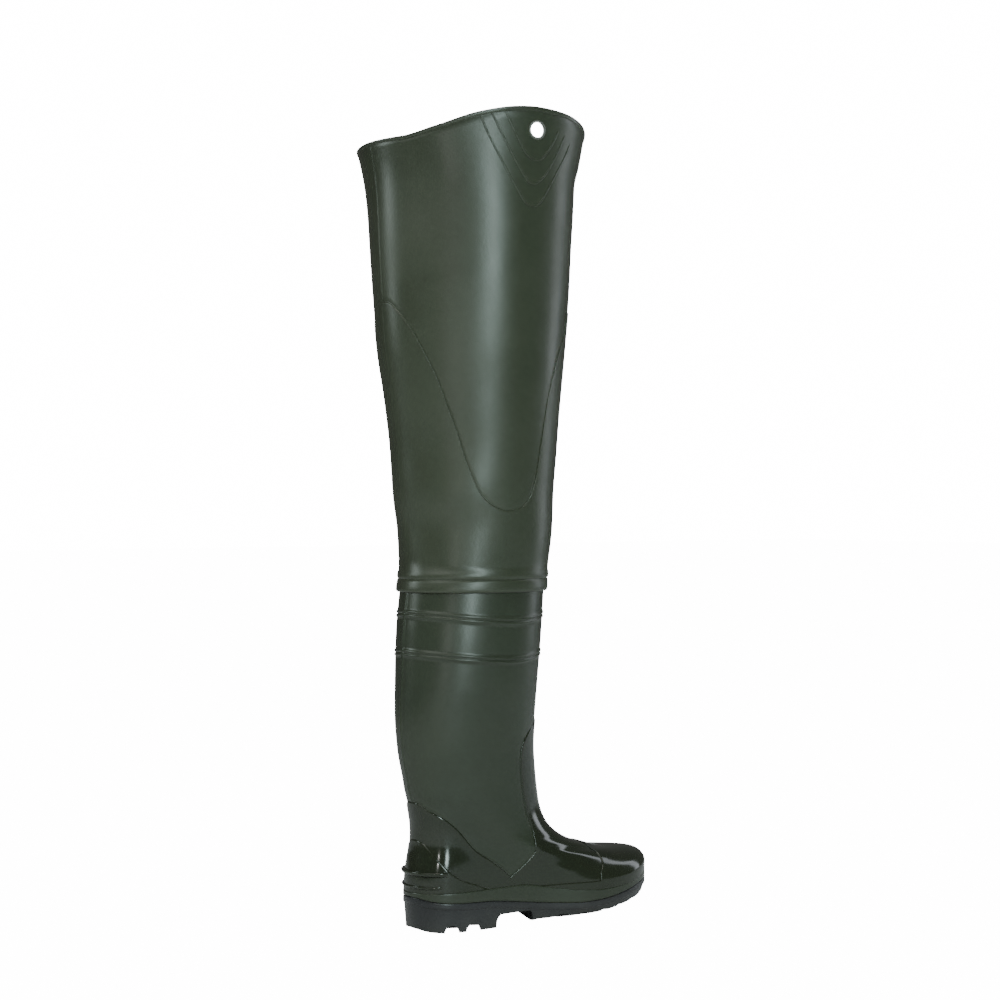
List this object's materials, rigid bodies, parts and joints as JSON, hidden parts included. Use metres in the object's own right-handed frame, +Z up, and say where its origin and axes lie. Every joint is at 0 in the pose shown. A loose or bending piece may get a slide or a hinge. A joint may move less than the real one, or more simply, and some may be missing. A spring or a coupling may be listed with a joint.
{
  "type": "hip wader",
  "caption": "Right hip wader: a moulded rubber boot with a lugged heeled sole and a tall thigh leg with an open slanted collar and a punched strap hole.",
  "frame": {"origin": "on the floor under the middle of the heel's tread", "axes": "+X to the toe, +Y to the medial (inner) side, +Z up along the leg"},
  "size_m": [0.3547, 0.215, 0.8342],
  "materials": {
    "boot_rubber": "semi-gloss moulded olive-green rubber",
    "leg_rubber": "satin olive-green rubber sheet",
    "sole_rubber": "semi-matt near-black moulded rubber",
    "insole_felt": "matt grey needle felt"
  },
  "bodies": {
    "root": {"upper": "boot_rubber", "thigh_leg": "leg_rubber", "outsole": "sole_rubber", "insole": "insole_felt"}
  },
  "joints": []
}
